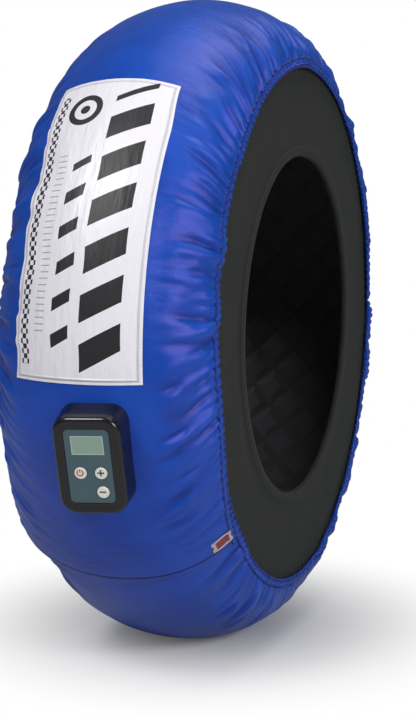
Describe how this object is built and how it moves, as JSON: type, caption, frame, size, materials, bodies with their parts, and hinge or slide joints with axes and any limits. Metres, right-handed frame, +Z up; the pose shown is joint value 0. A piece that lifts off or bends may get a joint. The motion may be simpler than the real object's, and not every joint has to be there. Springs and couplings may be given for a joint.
{
  "type": "motorcycle tyre warmer",
  "caption": "Electrically heated blanket that wraps round a motorcycle tyre, with gathered hems, stretch side panels, a hook-and-loop tongue and a temperature controller.",
  "frame": {"origin": "centre of the flat contact patch on the floor, straight below the axle", "axes": "+Z up, +Y along the axle towards the far side, -X towards the controller"},
  "size_m": [0.7105, 0.2294, 0.6725],
  "materials": {
    "nylon": "satin blue nylon",
    "neoprene": "matte stretch fabric",
    "batting": "felted",
    "heater": "woven with resistance wire",
    "lining": "matte woven",
    "elastic": "braided",
    "hook_loop": "pile",
    "label": "printed satin",
    "tag": "woven",
    "case": "satin black",
    "overlay": "satin printed film",
    "window": "grey-green display",
    "button": "pale satin",
    "board": "green laminate",
    "steel": "plain"
  },
  "bodies": {
    "warmer": {"outer_cover": "nylon", "insulation_batting": "batting", "heating_element": "heater", "inner_lining": "lining", "near_side_panel": "neoprene", "far_side_panel": "neoprene", "near_hem_elastic": "elastic", "far_hem_elastic": "elastic", "hook_tape": "hook_loop", "loop_tape": "hook_loop", "printed_label": "label", "woven_tag": "tag", "rear_case": "case", "front_case": "case", "keypad_overlay": "overlay", "display_window": "window", "display_module": "window", "circuit_board": "board", "relay": "case", "terminal_block": "board", "power_switch": "steel", "plus_switch": "steel", "minus_switch": "steel", "backing_plate": "case", "cord_gland": "case", "gland_nut": "case", "heater_lead_live": "steel", "heater_lead_return": "steel", "temperature_probe": "steel", "case_screw_1": "steel", "mounting_screw_1": "steel", "case_screw_2": "steel", "mounting_screw_2": "steel", "case_screw_3": "steel", "mounting_screw_3": "steel", "case_screw_4": "steel", "mounting_screw_4": "steel"},
    "power_button": {"power_button": "button"},
    "plus_button": {"plus_button": "button"},
    "minus_button": {"minus_button": "button"}
  },
  "joints": [
    {"name": "power_press", "type": "slide", "parent": "warmer", "child": "power_button", "axis": [0.9596, 0.1392, 0.2446], "range_m": [0, 0.0008], "stiffness_N_per_m": 400, "springref_m": -0.0005},
    {"name": "plus_press", "type": "slide", "parent": "warmer", "child": "plus_button", "axis": [0.9596, 0.1392, 0.2446], "range_m": [0, 0.0008], "stiffness_N_per_m": 400, "springref_m": -0.0005},
    {"name": "minus_press", "type": "slide", "parent": "warmer", "child": "minus_button", "axis": [0.9596, 0.1392, 0.2446], "range_m": [0, 0.0008], "stiffness_N_per_m": 400, "springref_m": -0.0005}
  ]
}
